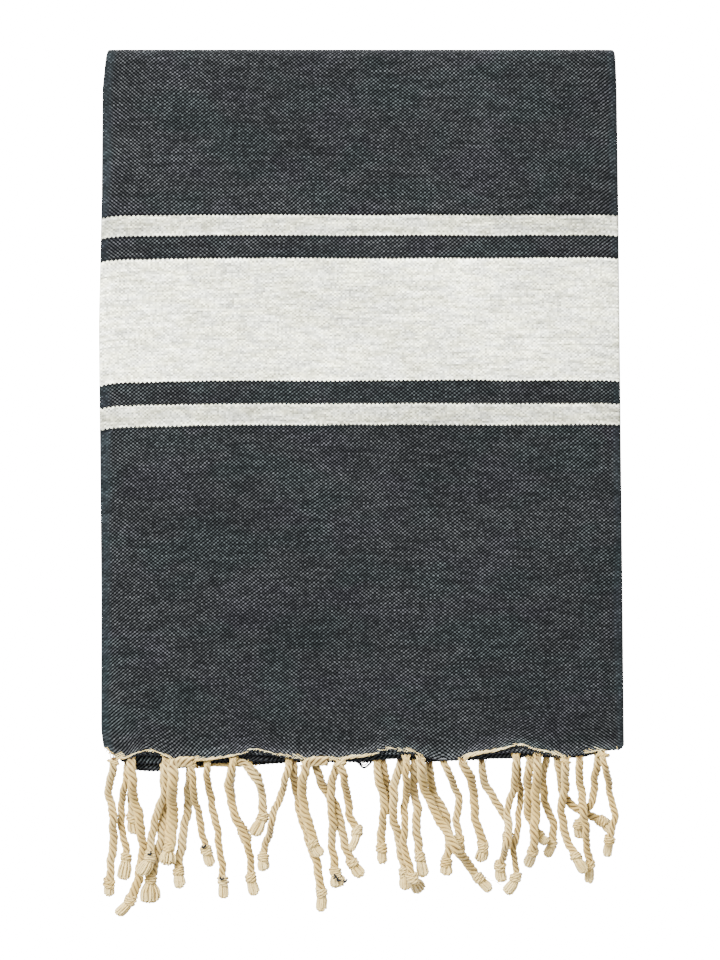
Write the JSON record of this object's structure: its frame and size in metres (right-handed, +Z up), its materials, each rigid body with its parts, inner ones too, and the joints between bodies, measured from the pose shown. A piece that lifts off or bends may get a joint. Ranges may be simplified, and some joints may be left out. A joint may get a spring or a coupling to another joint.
{
  "type": "folded hammam towel",
  "caption": "Flat-woven cotton hammam towel with a banded border and knotted fringes, folded in three across and in four along, lying flat face up.",
  "frame": {"origin": "middle of the outline on the surface the towel lies on, below the bounding box", "axes": "+Z up, out of the face that shows; +Y along the length, from the fringes to the far folds; +X to the right as the face is looked down on"},
  "size_m": [0.3402, 0.5614, 0.0232],
  "materials": {
    "cloth": "plain weave cotton, charcoal weft over cream warp, with off-white bands",
    "fringe": "twisted natural cotton yarn, matt"
  },
  "bodies": {
    "root": {"towel_cloth": "cloth", "front_fringe": "fringe", "back_fringe": "fringe"}
  },
  "joints": []
}
